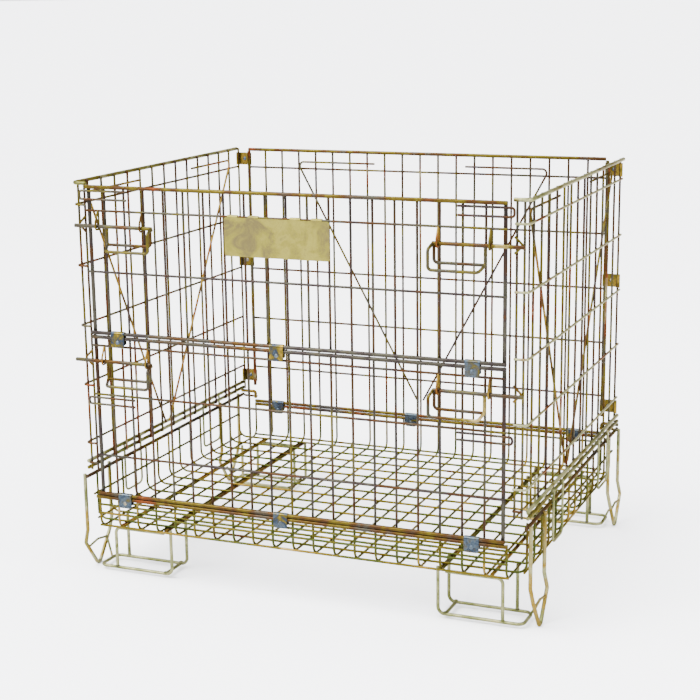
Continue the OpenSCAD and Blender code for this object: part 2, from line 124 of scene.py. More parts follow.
# ---- Mesh building ----
class Metal:
    """Collects tubes, welds and sheets into one mesh. Each carries its own tint."""

    def __init__(self):
        self.verts = []
        self.faces = []
        self.tints = []

    def add(self, verts, faces, tint=None):
        """Adds one closed shape. Without a tint it draws one of its own."""
        first = len(self.verts)
        shade = random.uniform(0, 1) if tint is None else tint
        self.verts.extend(verts)
        self.faces.extend([tuple(first + i for i in face) for face in faces])
        self.tints.extend([shade] * len(verts))

    def mirrored(self):
        """The same metal on the other side, with fresh tints kept in step."""
        other = Metal()
        other.verts = [(-v[0], v[1], v[2]) for v in self.verts]
        other.faces = [tuple(reversed(face)) for face in self.faces]
        other.tints = [(t * 7.3) % 1 if t >= 0 else t for t in self.tints]
        return other


def rounded(points, bend):
    """The path through the points with every corner rounded."""
    pts = [Vector(p) for p in points]
    path = [pts[0]]
    for before, corner, after in zip(pts, pts[1:], pts[2:]):
        u = (before - corner).normalized()
        v = (after - corner).normalized()
        half = u.angle(v) / 2
        room = 0.49 * min((before - corner).length, (after - corner).length)
        reach = min(bend / math.tan(half), room)
        centre = corner + (u + v).normalized() * (reach / math.cos(half))
        start = corner + u * reach - centre
        end = corner + v * reach - centre
        turn = start.angle(end)
        steps = max(3, round(turn / math.radians(11)))
        axis = start.cross(end)
        path += [centre + Matrix.Rotation(turn * i / steps, 3, axis) @ start for i in range(steps + 1)]
    path.append(pts[-1])
    return path


def tube(metal, points, radius, bend=0.0, sides=14, tint=None):
    """Round bar along the points, with rounded corners and slightly rounded cut ends."""
    path = rounded(points, bend) if bend else [Vector(p) for p in points]
    along = [(b - a).normalized() for a, b in zip(path, path[1:])]
    tangents = [along[0]] + [(a + b).normalized() for a, b in zip(along, along[1:])] + [along[-1]]
    chamfer = 0.35 * radius
    cut_end = ((0.0, 0.72), (0.4, 0.93), (1.0, 1.0))
    first, last = tangents[0], tangents[-1]
    rings = [(path[0] + first * chamfer * far, first, scale) for far, scale in cut_end]
    rings += [(p, t, 1.0) for p, t in zip(path[1:-1], tangents[1:-1])]
    rings += [(path[-1] - last * chamfer * far, last, scale) for far, scale in reversed(cut_end)]
    across = tangents[0].orthogonal().normalized()
    previous = tangents[0]
    verts = []
    for centre, tangent, scale in rings:
        across = previous.rotation_difference(tangent) @ across
        across = (across - tangent * across.dot(tangent)).normalized()
        previous = tangent
        other = tangent.cross(across)
        for i in range(sides):
            angle = 2 * math.pi * i / sides
            spoke = across * math.cos(angle) + other * math.sin(angle)
            verts.append(tuple(centre + spoke * radius * scale))
    faces = []
    for ring in range(len(rings) - 1):
        a, b = ring * sides, (ring + 1) * sides
        faces += [(a + i, a + (i + 1) % sides, b + (i + 1) % sides, b + i) for i in range(sides)]
    faces.append(tuple(reversed(range(sides))))
    end = (len(rings) - 1) * sides
    faces.append(tuple(range(end, end + sides)))
    metal.add(verts, faces, tint)


def nugget(metal, centre, radii, tint=-0.2):
    """Squeezed bead of weld metal between two crossing wires."""
    around, levels = 8, 5
    verts = [(centre[0], centre[1], centre[2] - radii[2])]
    for level in range(1, levels):
        lat = math.pi * level / levels
        for i in range(around):
            lon = 2 * math.pi * i / around
            verts.append((
                centre[0] + radii[0] * math.sin(lat) * math.cos(lon),
                centre[1] + radii[1] * math.sin(lat) * math.sin(lon),
                centre[2] - radii[2] * math.cos(lat),
            ))
    verts.append((centre[0], centre[1], centre[2] + radii[2]))
    top = len(verts) - 1
    faces = [(0, 1 + (i + 1) % around, 1 + i) for i in range(around)]
    for level in range(levels - 2):
        a, b = 1 + level * around, 1 + (level + 1) * around
        faces += [(a + i, a + (i + 1) % around, b + (i + 1) % around, b + i) for i in range(around)]
    a = 1 + (levels - 2) * around
    faces += [(a + i, a + (i + 1) % around, top) for i in range(around)]
    metal.add(verts, faces, tint)


def welds_facing_y(metal, xs, zs, y, wide=WELD[0]):
    """Weld beads at every crossing of the given uprights and levels, flat along y."""
    for x in xs:
        for z in zs:
            nugget(metal, (x, y, z), (wide, WELD[1], wide))


def welds_facing_x(metal, ys, zs, x, wide=WELD[0]):
    """Weld beads at every crossing of the given uprights and levels, flat along x."""
    for y in ys:
        for z in zs:
            nugget(metal, (x, y, z), (WELD[1], wide, wide))


def sheet(metal, profile, across, half_width, thick, corner=0.0, press=None, tint=None, columns=12):
    """Bent sheet: the profile swept across its width, with rounded corners at both ends.

    press is (distance along the profile, height, radius) of a round pressed dimple."""
    path = [Vector(p) for p in profile]
    across = Vector(across)
    run = [0.0]
    for a, b in zip(path, path[1:]):
        run.append(run[-1] + (b - a).length)
    top, bottom = [], []
    for i, point in enumerate(path):
        ahead = path[min(i + 1, len(path) - 1)] - path[max(i - 1, 0)]
        normal = ahead.normalized().cross(across).normalized()
        inset = min(run[i], run[-1] - run[i])
        wide = half_width
        if inset < corner:
            wide -= corner - math.sqrt(max(corner**2 - (corner - inset) ** 2, 0))
        for j in range(columns + 1):
            s = (2 * j / columns - 1) * wide
            lift = 0.0
            if press:
                away = math.hypot(run[i] - press[0], s)
                lift = press[1] * max(0.0, 1 - (away / press[2]) ** 2) ** 2
            edge = 0.78 if j in (0, columns) or i in (0, len(path) - 1) else 1.0
            base = point + across * s + normal * lift
            top.append(tuple(base + normal * thick / 2 * edge))
            bottom.append(tuple(base - normal * thick / 2 * edge))
    rows, cols = len(path), columns + 1
    count = rows * cols
    faces = []
    for i in range(rows - 1):
        for j in range(cols - 1):
            a, b, c, d = i * cols + j, i * cols + j + 1, (i + 1) * cols + j + 1, (i + 1) * cols + j
            faces.append((a, d, c, b))
            faces.append((count + a, count + b, count + c, count + d))
    rim = list(range(cols)) + [i * cols + cols - 1 for i in range(1, rows)]
    rim += [(rows - 1) * cols + j for j in range(cols - 2, -1, -1)]
    rim += [i * cols for i in range(rows - 2, 0, -1)]
    for a, b in zip(rim, rim[1:] + rim[:1]):
        faces.append((a, b, count + b, count + a))
    metal.add(top + bottom, faces, tint)


def lathe(metal, origin, axis, outline, sides=20, tint=None):
    """Solid turned about an axis from an outline of (radius, height) that starts and ends on the axis."""
    axis = Vector(axis).normalized()
    u = axis.orthogonal().normalized()
    v = axis.cross(u)
    origin = Vector(origin)
    verts = [tuple(origin + axis * outline[0][1])]
    for radius, height in outline[1:-1]:
        for i in range(sides):
            angle = 2 * math.pi * i / sides
            verts.append(tuple(origin + axis * height + (u * math.cos(angle) + v * math.sin(angle)) * radius))
    verts.append(tuple(origin + axis * outline[-1][1]))
    faces = [(0, 1 + (i + 1) % sides, 1 + i) for i in range(sides)]
    for k in range(len(outline) - 3):
        a, b = 1 + k * sides, 1 + (k + 1) * sides
        faces += [(a + i, a + (i + 1) % sides, b + (i + 1) % sides, b + i) for i in range(sides)]
    a = 1 + (len(outline) - 3) * sides
    faces += [(a + i, a + (i + 1) % sides, len(verts) - 1) for i in range(sides)]
    metal.add(verts, faces, tint)


def arc_points(centre, radius, start, end, steps, place):
    """Points on an arc from start to end degrees; place turns the arc's (u, v) into a point in space."""
    points = []
    for i in range(steps + 1):
        angle = math.radians(start + (end - start) * i / steps)
        points.append(place(centre[0] + radius * math.cos(angle), centre[1] + radius * math.sin(angle)))
    return points


def finish_piece(name, metal, nodes, material, slot=None):
    """Turns the collected metal into a piece that replaces CAD nodes and rides on their body."""
    mesh = bpy.data.meshes.new(name)
    mesh.from_pydata(metal.verts, [], metal.faces)
    mesh.validate()
    tint = mesh.attributes.new("tint", "FLOAT", "POINT")
    tint.data.foreach_set("value", np.array(metal.tints, dtype=np.float32))
    mesh.polygons.foreach_set("use_smooth", [True] * len(mesh.polygons))
    mesh.set_sharp_from_angle(angle=math.radians(50))
    mesh.materials.append(material)
    piece = bpy.data.objects.new(name, mesh)
    bpy.context.scene.collection.objects.link(piece)
    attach(piece, BODY_OF[nodes[0]])
    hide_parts(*nodes)
    slot or SLOT_OF[nodes[0]]


# ---- Materials ----
EDGE_TINT = (0.55, 0.5, 0.42, 1)


def noise(tree, where, scale, detail, roughness=0.55, distortion=0.0):
    """Noise in the object's own coordinates."""
    node = tree.nodes.new("ShaderNodeTexNoise")
    node.inputs["Scale"].default_value = scale
    node.inputs["Detail"].default_value = detail
    node.inputs["Roughness"].default_value = roughness
    node.inputs["Distortion"].default_value = distortion
    tree.links.new(where, node.inputs["Vector"])
    return node.outputs["Fac"]


def scaled(tree, value, factor, offset=0.0):
    """The value times a factor plus an offset."""
    node = tree.nodes.new("ShaderNodeMath")
    node.operation = "MULTIPLY_ADD"
    node.inputs[1].default_value = factor
    node.inputs[2].default_value = offset
    tree.links.new(value, node.inputs[0])
    return node.outputs[0]


def remap(tree, value, low, high):
    """Spreads the middle of a noise from low to high."""
    node = tree.nodes.new("ShaderNodeMapRange")
    node.inputs["From Min"].default_value = 0.3
    node.inputs["From Max"].default_value = 0.7
    node.inputs["To Min"].default_value = low
    node.inputs["To Max"].default_value = high
    tree.links.new(value, node.inputs["Value"])
    return node.outputs["Result"]


def colour_row(tree, value, colours):
    """The colour at that place in an evenly spaced row of colours."""
    ramp = tree.nodes.new("ShaderNodeValToRGB")
    elements = ramp.color_ramp.elements
    while len(elements) < len(colours):
        elements.new(0.5)
    for i, (element, colour) in enumerate(zip(elements, colours)):
        element.position = i / (len(colours) - 1)
        element.color = (*colour, 1)
    tree.links.new(value, ramp.inputs["Fac"])
    return ramp.outputs["Color"]


def zinc(name, colours, rough=(0.3, 0.5), metallic=0.9, patch=9.0, speck=0.35):
    """Passivated zinc: patches of tint along each wire, fine specks, uneven gloss and a light grain."""
    material = bpy.data.materials.new(name)
    material.use_nodes = True
    tree = material.node_tree
    shader = tree.nodes["Principled BSDF"]
    shader.inputs["Metallic"].default_value = metallic
    shader.inputs["Specular Tint"].default_value = EDGE_TINT
    where = tree.nodes.new("ShaderNodeTexCoord").outputs["Object"]
    tint = tree.nodes.new("ShaderNodeAttribute")
    tint.attribute_name = "tint"

    row_place = tree.nodes.new("ShaderNodeMath")
    row_place.operation = "ADD"
    tree.links.new(scaled(tree, noise(tree, where, patch, 4, 0.6, 0.6), 1.7, -0.62), row_place.inputs[0])
    tree.links.new(scaled(tree, tint.outputs["Fac"], 0.45), row_place.inputs[1])
    specks = remap(tree, noise(tree, where, 420.0, 3, 0.7), 1.0 - speck, 1.0 + 0.4 * speck)
    shade = tree.nodes.new("ShaderNodeMix")
    shade.data_type = "RGBA"
    shade.blend_type = "MULTIPLY"
    shade.inputs["Factor"].default_value = 1.0
    tree.links.new(colour_row(tree, row_place.outputs[0], colours), shade.inputs["A"])
    tree.links.new(specks, shade.inputs["B"])
    tree.links.new(shade.outputs["Result"], shader.inputs["Base Color"])
    tree.links.new(remap(tree, noise(tree, where, 60.0, 5, 0.65), *rough), shader.inputs["Roughness"])

    bump = tree.nodes.new("ShaderNodeBump")
    bump.inputs["Strength"].default_value = 0.25
    bump.inputs["Distance"].default_value = 0.0002
    tree.links.new(noise(tree, where, 900.0, 3, 0.6), bump.inputs["Height"])
    tree.links.new(bump.outputs["Normal"], shader.inputs["Normal"])
    return material


BROWN = (0.036, 0.0155, 0.005)
COPPER = (0.090, 0.022, 0.006)
VIOLET = (0.020, 0.0155, 0.0155)
GREY = (0.033, 0.031, 0.022)
OLIVE = (0.064, 0.050, 0.005)
GREEN = (0.026, 0.036, 0.007)
GOLD = (0.150, 0.095, 0.013)
PALE = (0.27, 0.20, 0.07)
KHAKI = (0.20, 0.195, 0.095)
MOSS = (0.085, 0.092, 0.030)
BLUE = (0.050, 0.072, 0.098)
STEEL = (0.036, 0.050, 0.064)
DARK_BLUE = (0.012, 0.018, 0.030)

# Tints that place a rod in its metal's row of colours. The highest one paints the side's level wires pale, a
# painted highlight as if these horizontal wires caught the overhead light.
DARK_TINT, COOL_TINT, WARM_TINT, RUSSET_TINT, PAINTED_HIGHLIGHT_TINT = 0.05, 0.0, 0.65, 0.75, 1.9
SHEET_TINT, CURL_TINT = 0.5, 0.55

wire_metal = zinc("wire_zinc", [VIOLET, GREY, VIOLET, BROWN, GREY, OLIVE, VIOLET])
side_metal = zinc("side_wire_zinc", [BROWN, VIOLET, BROWN, GREY, OLIVE, BROWN, COPPER, KHAKI])
floor_metal = zinc("floor_wire_zinc", [BROWN, OLIVE, GREEN, OLIVE, GOLD, PALE])
foot_metal = zinc("foot_zinc", [GREY, MOSS, KHAKI, MOSS, KHAKI, PALE, KHAKI])
guide_metal = zinc("guide_zinc", [OLIVE, MOSS, GOLD, KHAKI, MOSS, KHAKI, PALE])
side_rod_metal = zinc("side_rod_zinc", [GREY, MOSS, KHAKI, OLIVE, MOSS, KHAKI, PALE])
latch_metal = zinc("latch_zinc", [BROWN, GREY, OLIVE, GREY, BROWN, OLIVE, PALE])
corner_metal = zinc("corner_zinc", [BROWN, OLIVE, GOLD, OLIVE, BROWN, COPPER], patch=30.0)
rod_metal = zinc("rod_zinc", [BROWN, GREY, OLIVE, BROWN, GOLD, COPPER, PALE])
dark_rod_metal = zinc("rail_zinc", [GREY, VIOLET, GREY, BROWN, OLIVE, BROWN, COPPER, GOLD])
clip_metal = zinc(
    "clip_zinc", [GOLD, OLIVE, DARK_BLUE, STEEL, GREY, OLIVE, GOLD], rough=(0.22, 0.4), patch=48.0,
)
rivet_metal = zinc("rivet_zinc", [GREY, BLUE, PALE], rough=(0.25, 0.4), patch=60.0)
plate_metal = zinc(
    "plate_zinc",
    [
        (0.150, 0.130, 0.022), (0.085, 0.068, 0.026), (0.140, 0.122, 0.020),
        (0.180, 0.158, 0.030), (0.095, 0.078, 0.022), (0.160, 0.140, 0.024),
    ],
    rough=(0.38, 0.55), metallic=0.75, patch=20.0, speck=0.12,
)


def spaced(count, step):
    """That many places a step apart, centred on zero."""
    return [(i - (count - 1) / 2) * step for i in range(count)]


# ---- Tray ----
def basket_wires(metal, long_xs, cross_ys):
    """Floor wires that turn up into the four walls, welded where they cross."""
    for x in long_xs:
        tube(metal, [
            (x, front_y, front_wall_high[2]), (x, front_y, floor_z),
            (x, back_y, floor_z), (x, back_y, back_wall_high[2]),
        ], WIRE, FLOOR_BEND)
    for y in cross_ys:
        tube(metal, [
            (-half_w, y, side_wall_high[2]), (-half_w, y, cross_z),
            (half_w, y, cross_z), (half_w, y, side_wall_high[2]),
        ], WIRE, FLOOR_BEND)
    for x in long_xs:
        for y in cross_ys:
            nugget(metal, (x, y, floor_z + LAYER / 2), (WELD[0], WELD[0], WELD[1]))


def wall_levels(metal, long_xs, cross_ys):
    """Level wires outside the four walls and in their bends."""
    level_x = front_wall_high[0]
    edge = (FLOOR_BEND + LAYER) / math.sqrt(2)
    rim_z = front_wall_high[2] - OVERHANG
    front_levels = [rim_z - 0.0175, rim_z - 0.036]
    for z in front_levels:
        tube(metal, [(-level_x, front_y - LAYER, z), (level_x, front_y - LAYER, z)], WIRE)
    welds_facing_y(metal, long_xs, front_levels, front_y - LAYER / 2)
    back_level = back_wall_high[2] - 0.0185
    tube(metal, [(-level_x, back_y + LAYER, back_level), (level_x, back_y + LAYER, back_level)], WIRE)
    welds_facing_y(metal, long_xs, [back_level], back_y + LAYER / 2)
    for wall_y, way in ((front_y, -1), (back_y, 1)):
        y = wall_y - way * (FLOOR_BEND - edge)
        z = floor_z + FLOOR_BEND - edge
        tube(metal, [(-level_x, y, z), (level_x, y, z)], WIRE)
    reach = (side_wall_high[1] - side_wall_low[1]) / 2
    side_level = side_wall_high[2] - 0.0464
    for side in (-1, 1):
        x = side * (half_w + LAYER)
        tube(metal, [(x, mid_y - reach, side_level), (x, mid_y + reach, side_level)], WIRE)
        welds_facing_x(metal, cross_ys, [side_level], side * (half_w + LAYER / 2))
        x = side * (half_w - FLOOR_BEND + edge)
        z = cross_z + FLOOR_BEND - edge
        tube(metal, [(x, mid_y - reach, z), (x, mid_y + reach, z)], WIRE)


def tray_mesh():
    """The welded basket: floor and walls in one piece."""
    metal = Metal()
    long_xs = spaced(LONG_WIRES, pitch)
    cross_ys = [mid_y + y for y in spaced(CROSS_WIRES, floor_pitch)]
    basket_wires(metal, long_xs, cross_ys)
    wall_levels(metal, long_xs, cross_ys)
    nodes = ["tray_floor", "tray_front_wall", "tray_back_wall", "tray_left_wall", "tray_right_wall"]
    finish_piece("tray_wire_basket", metal, nodes, floor_metal)


def tray_rims():
    """The four thicker rods along the top of the tray's walls."""
    metal = Metal()
    front_z = front_wall_high[2] - OVERHANG
    back_z = back_wall_high[2] - OVERHANG
    side_z = side_wall_high[2] - OVERHANG
    side_end_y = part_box("tray_rims")[1][1]
    front_end = end_x + 0.006
    tube(metal, [(-front_end, rail_front_y, front_z), (front_end, rail_front_y, front_z)], ROD, sides=20)
    tube(metal, [(-end_x, rail_back_y, back_z), (end_x, rail_back_y, back_z)], ROD, sides=20)
    for side in (-1, 1):
        x = side * rod_side_x
        tube(metal, [(x, front_y + 0.008, side_z), (x, side_end_y, side_z)], ROD, sides=20)
    welds_facing_y(metal, spaced(LONG_WIRES, pitch), [front_z], front_y - 0.003)
    finish_piece("tray_rim_rods", metal, ["tray_rims"], dark_rod_metal)


def floor_runners():
    """Rods under the floor that carry the feet."""
    metal = Metal()
    low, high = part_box("floor_runners")
    z = (low[2] + high[2]) / 2
    for side in (-1, 1):
        for x in (INNER_RUNNER_X, high[0] - ROD):
            tube(metal, [(side * x, low[1], z), (side * x, high[1], z)], ROD, sides=18)
    finish_piece("floor_runner_rods", metal, ["floor_runners"], rod_metal)


def corner_point(side, end):
    """Gives a function that turns a front right corner's (x, y from the middle, z) into that corner's."""
    return lambda x, y, z: (side * x, mid_y - end * y, z)


def feet_and_guides():
    """A foot and a stacking guide at each of the four corners."""
    for end, end_name in ((-1, "front"), (1, "back")):
        for side, side_name in ((-1, "left"), (1, "right")):
            place = corner_point(side, end)
            foot(f"foot_{end_name}_{side_name}", place)
            guide(f"guide_{end_name}_{side_name}", place)


def foot(node, place):
    """Floor loop with its two hoops, a short connector and the tie to the guide."""
    low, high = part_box(node)
    metal = Metal()
    out_x = max(abs(low[0]), abs(high[0]))
    in_x = min(abs(low[0]), abs(high[0])) + FOOT_ROD
    loop_x, mid_x = half_w - 0.004, 0.430
    last_x, short_x = pivot_x - WIRE - FOOT_ROD, in_x + 0.015
    out_y = -(half_depth - 0.030)
    in_y = out_y + 0.0665
    foot_z, leg_top = low[2] + FOOT_ROD, high[2]
    sunk_z = foot_z + 0.001
    hoop_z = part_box("floor_runners")[0][2] - FOOT_ROD
    tie_y, tie_z = in_y - 0.020, 0.0455
    tube(metal, [
        place(in_x, out_y, leg_top), place(in_x, out_y, foot_z), place(loop_x, out_y, foot_z),
        place(loop_x, in_y, foot_z), place(in_x, in_y, foot_z), place(in_x, in_y, leg_top),
    ], FOOT_ROD, 0.014, sides=18)
    tube(metal, [
        place(short_x, out_y, hoop_z), place(mid_x, out_y, hoop_z), place(mid_x, out_y, sunk_z),
    ], FOOT_ROD, 0.012, sides=18)
    tube(metal, [place(last_x, in_y, leg_top), place(last_x, in_y, sunk_z)], FOOT_ROD, sides=18)
    tube(metal, [place(short_x, out_y, foot_z), place(short_x, in_y, foot_z)], FOOT_ROD, sides=18)
    tube(metal, [place(loop_x, tie_y, foot_z), place(out_x - WIRE, tie_y + 0.0125, tie_z)], WIRE)
    for x, y in ((mid_x, out_y), (last_x, in_y), (short_x, out_y), (short_x, in_y)):
        nugget(metal, place(x, y, foot_z + 0.0028), FOOT_WELD)
    finish_piece(f"{node}_rods", metal, [node], foot_metal)


def guide(node, place):
    """V-shaped stacking guide outside the side wall, with its small bent cross bar."""
    low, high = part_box(node)
    metal = Metal()
    tip_x = max(abs(low[0]), abs(high[0])) - ROD - 0.0001
    leg_x = min(abs(low[0]), abs(high[0])) + ROD
    centre_y = -(half_depth - 0.061)
    leg_ys = (-(half_depth - 0.013), -(half_depth - 0.111))
    top, knee, flare, tip, tip_z = high[2], 0.092, 0.062, 0.006, low[2] + ROD
    tube(metal, [
        place(leg_x, leg_ys[0], top), place(leg_x, leg_ys[0], knee), place(tip_x, leg_ys[0], flare),
        place(tip_x, centre_y - tip, tip_z), place(tip_x, centre_y + tip, tip_z),
        place(tip_x, leg_ys[1], flare), place(leg_x, leg_ys[1], knee), place(leg_x, leg_ys[1], top),
    ], ROD, 0.0085, sides=18)
    bar_reach, bar_z, bar_top = 0.037, 0.049, 0.055
    tube(metal, [
        place(tip_x, centre_y - bar_reach, bar_z), place(tip_x, centre_y, bar_top),
        place(tip_x, centre_y + bar_reach, bar_z),
    ], WIRE, 0.020)
    finish_piece(f"{node}_wire", metal, [node], guide_metal)


def retaining_loops():
    """Two wire loops outside each side wall."""
    low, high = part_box("right_retaining_loops")
    x = high[0] - WIRE
    metal = Metal()
    for y0, y1, z0 in ((-0.200, -0.130, 0.131), (0.172, 0.256, 0.128)):
        tube(metal, [
            (x, mid_y + y0, high[2]), (x, mid_y + y0, z0), (x, mid_y + y1, z0), (x, mid_y + y1, high[2]),
        ], WIRE, 0.012)
    finish_piece("right_loop_wires", metal, ["right_retaining_loops"], foot_metal)
    finish_piece("left_loop_wires", metal.mirrored(), ["left_retaining_loops"], foot_metal)


def pivot_eyes():
    """Rings on the tray that the side panels' pins stand in, with their short stems."""
    low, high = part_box("pivot_eyes")
    metal = Metal()
    z = (low[2] + high[2]) / 2
    eye_r = 0.0053
    for side in (-1, 1):
        angles = [side * math.radians(8 + 344 * i / 28) for i in range(29)]
        ring = [(side * (pivot_x + eye_r * math.cos(a)), back_y + eye_r * math.sin(a), z) for a in angles]
        tube(metal, ring, 0.00118, sides=12)
        tube(metal, [(side * (pivot_x + 0.0055), back_y, z), (side * (rod_side_x - ROD), back_y, z)], 0.0028)
    finish_piece("pivot_eye_rings", metal, ["pivot_eyes"], rod_metal)


# ---- Hinge clips ----
CLIP_XS = [-8.5 * pitch, -0.5 * pitch, 8.5 * pitch]


def hinge_clips(node, y, z, front_leg, back_leg, dimple_drop):
    """Three sheets folded over the hinge rail at (y, z), each with a pressed dimple for its rivet."""
    metal = Metal()
    radius = ROD + SHEET / 2 + 0.00005
    for x in CLIP_XS:
        front = [(x, y - radius, z - front_leg + front_leg * i / 12) for i in range(12)]
        over = arc_points((y, z), radius, 180, 0, 14, lambda v, w: (x, v, w))
        back = [(x, y + radius, z - back_leg * i / 10) for i in range(1, 11)]
        sheet(metal, front + over + back, (1, 0, 0), CLIP_HALF, SHEET * 0.98, 0.005,
              (front_leg - dimple_drop, -0.0008, 0.008))
    finish_piece(f"{node}_sheet", metal, [node], clip_metal)


def clip_rivets(node, places):
    """Rivets through both legs of the hinge clips."""
    metal = Metal()
    reach = ROD + SHEET + 0.0001
    for x, y, z in places:
        lathe(metal, (x, y, z), (0, -1, 0), [
            (0, -reach - 0.0013), (0.0026, -reach - 0.0012), (0.0042, -reach - 0.0004), (0.0043, -reach),
            (0.0025, -reach), (0.0025, reach), (0.0043, reach), (0.0042, reach + 0.0004),
            (0.0026, reach + 0.0012), (0.0012, reach + 0.0009), (0, reach + 0.0008),
        ])
    finish_piece(f"{node}_heads", metal, [node], rivet_metal)


def hinge_hardware():
    """Every hinge clip and its rivet."""
    low_drop, mid_drop, back_drop = 0.0156, 0.017, 0.017
    hinge_clips("front_hinge_clips", rail_front_y, front_hinge_z, 0.026, 0.022, low_drop)
    hinge_clips("mid_hinge_clips", rail_front_y, mid_hinge_z, 0.028, 0.024, mid_drop)
    hinge_clips("back_hinge_clips", rail_back_y, back_hinge_z, 0.027, 0.021, back_drop)
    front = [(x, rail_front_y, front_hinge_z - low_drop) for x in CLIP_XS]
    back = [(x, rail_back_y, back_hinge_z - back_drop) for x in CLIP_XS]
    clip_rivets("hinge_clip_rivets", front + back)
    clip_rivets("mid_clip_rivets", [(x, rail_front_y, mid_hinge_z - mid_drop) for x in CLIP_XS])


# ---- Front leaves ----
def front_leaf(node, z0, z1, levels, rail_zs):
    """Mesh of one front leaf from z0 to z1, with a thicker rod at each edge."""
    metal = Metal()
    xs = spaced(LONG_WIRES - 2, pitch)
    edge_x = half_w - 0.037
    edge_y = front_y + ROD - WIRE
    for x in xs:
        tube(metal, [(x, front_y, z0), (x, front_y, z1)], WIRE)
    for side in (-1, 1):
        tube(metal, [(side * edge_x, edge_y, z0), (side * edge_x, edge_y, z1)], ROD, sides=20, tint=DARK_TINT)
    for z in levels:
        tube(metal, [(-end_x, front_y - LAYER, z), (end_x, front_y - LAYER, z)], WIRE)
    crossing_xs = xs + [-edge_x, edge_x]
    welds_facing_y(metal, crossing_xs, levels, front_y - LAYER / 2)
    welds_facing_y(metal, crossing_xs, rail_zs, front_y - 0.0030, ROD_WELD)
    finish_piece(f"{node}_wires", metal, [node], wire_metal)


def rails(node, levels, y):
    """Rods across the whole width at the given (height, tint) pairs."""
    metal = Metal()
    for z, tint in levels:
        tube(metal, [(-end_x, y, z), (end_x, y, z)], ROD, sides=20, tint=tint)
    finish_piece(f"{node}_rods", metal, [node], dark_rod_metal)


def hangers(node, wire_z, latch_z):
    """Wire loops that hang a latch rod from the level wire above it."""
    metal = Metal()
    reach = ROD + 0.0026
    back = latch_y + reach
    front = latch_y - reach
    low = latch_z - reach
    for side in (-1, 1):
        for x in HANGER_XS:
            tube(metal, [
                (side * x, back, wire_z - WIRE), (side * x, back, low), (side * x, front, low),
                (side * x, front, latch_z + 0.009), (side * x, front_y - LAYER - WIRE - HOOK_WIRE, wire_z),
            ], HOOK_WIRE, 0.005)
    finish_piece(f"{node}_wires", metal, [node], rod_metal)


def hairpins(node):
    """Flat wire hairpins at both ends of a leaf."""
    low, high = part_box(node)
    metal = Metal()
    y = (low[1] + high[1]) / 2
    start = 8 * pitch - 0.009
    for side in (-1, 1):
        tube(metal, [
            (side * start, y, low[2] + WIRE), (side * (high[0] - WIRE), y, low[2] + WIRE),
            (side * (high[0] - WIRE), y, high[2] - WIRE), (side * start, y, high[2] - WIRE),
        ], WIRE, 0.0055)
    finish_piece(f"{node}_wires", metal, [node], wire_metal)


def name_plate():
    """Blank sheet, very slightly wavy, with four tabs curled over the level wire."""
    low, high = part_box("name_plate")
    metal = Metal()
    wire_z = gate_levels[0]
    centre_x = (low[0] + high[0]) / 2
    width = high[0] - low[0]
    y = low[1] + SHEET / 2
    rows = 26
    zs = [low[2] + (wire_z - 0.0005 - low[2]) * i / rows for i in range(rows + 1)]
    body = [(centre_x, y + 0.00018 * math.sin(38 * z), z) for z in zs]
    sheet(metal, body, (1, 0, 0), width / 2, SHEET * 0.95, 0.003, tint=SHEET_TINT, columns=48)
    radius = front_y - LAYER - y
    for i in (-2.5, -1.5, 0.5, 1.5):
        x = i * pitch
        over = arc_points((front_y - LAYER, wire_z), radius, 180, 8, 14, lambda v, w: (x, v, w))
        curl = [(x, y, wire_z - 0.004)] + over
        sheet(metal, curl, (1, 0, 0), 0.011, SHEET * 0.9, 0.0, tint=CURL_TINT, columns=6)
    finish_piece("name_plate_sheet", metal, ["name_plate"], plate_metal)


# ---- Latches ----
def latch(node, side):
    """Latch rod with its bent double-bar handle, drawn towards the middle as far as the CAD's."""
    low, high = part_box(node)
    metal = Metal()
    z = high[2] - ROD
    y = latch_y
    front = front_y - HANDLE_OUT
    bar_in, bar_drop = LATCH_IN - 0.003, 0.047
    rear_in, rear_drop = LATCH_IN + 0.002, 0.036
    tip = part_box("upper_right_latch")[1][0]
    drawn = tip - max(abs(low[0]), abs(high[0]))

    def place(x, v, w):
        return side * (x - drawn), v, w

    tube(metal, [place(LATCH_IN - 0.002, y, z), place(tip, y, z)], ROD, sides=20)
    tube(metal, [
        place(LATCH_IN, y - 0.001, z), place(bar_in, front, z - 0.009),
        place(bar_in, front, z - bar_drop), place(HANDLE_END - 0.007, front, z - bar_drop),
        place(HANDLE_END, y, z - rear_drop), place(HANDLE_END, y, z - 0.001),
    ], HANDLE_WIRE, 0.0075, sides=18)
    tube(metal, [
        place(HANDLE_END - 0.001, y, z - rear_drop), place(rear_in, y, z - rear_drop),
        place(rear_in, y, z - 0.001),
    ], HANDLE_WIRE, 0.0075, sides=18)
    for x in (LATCH_IN, HANDLE_END):
        nugget(metal, place(x, y, z - 0.003), (0.0046, 0.0042, 0.0034))
    nugget(metal, place(HANDLE_END - 0.001, y, z - rear_drop), (0.004, 0.004, 0.004))
    finish_piece(f"{node}_bar", metal, [node], latch_metal)


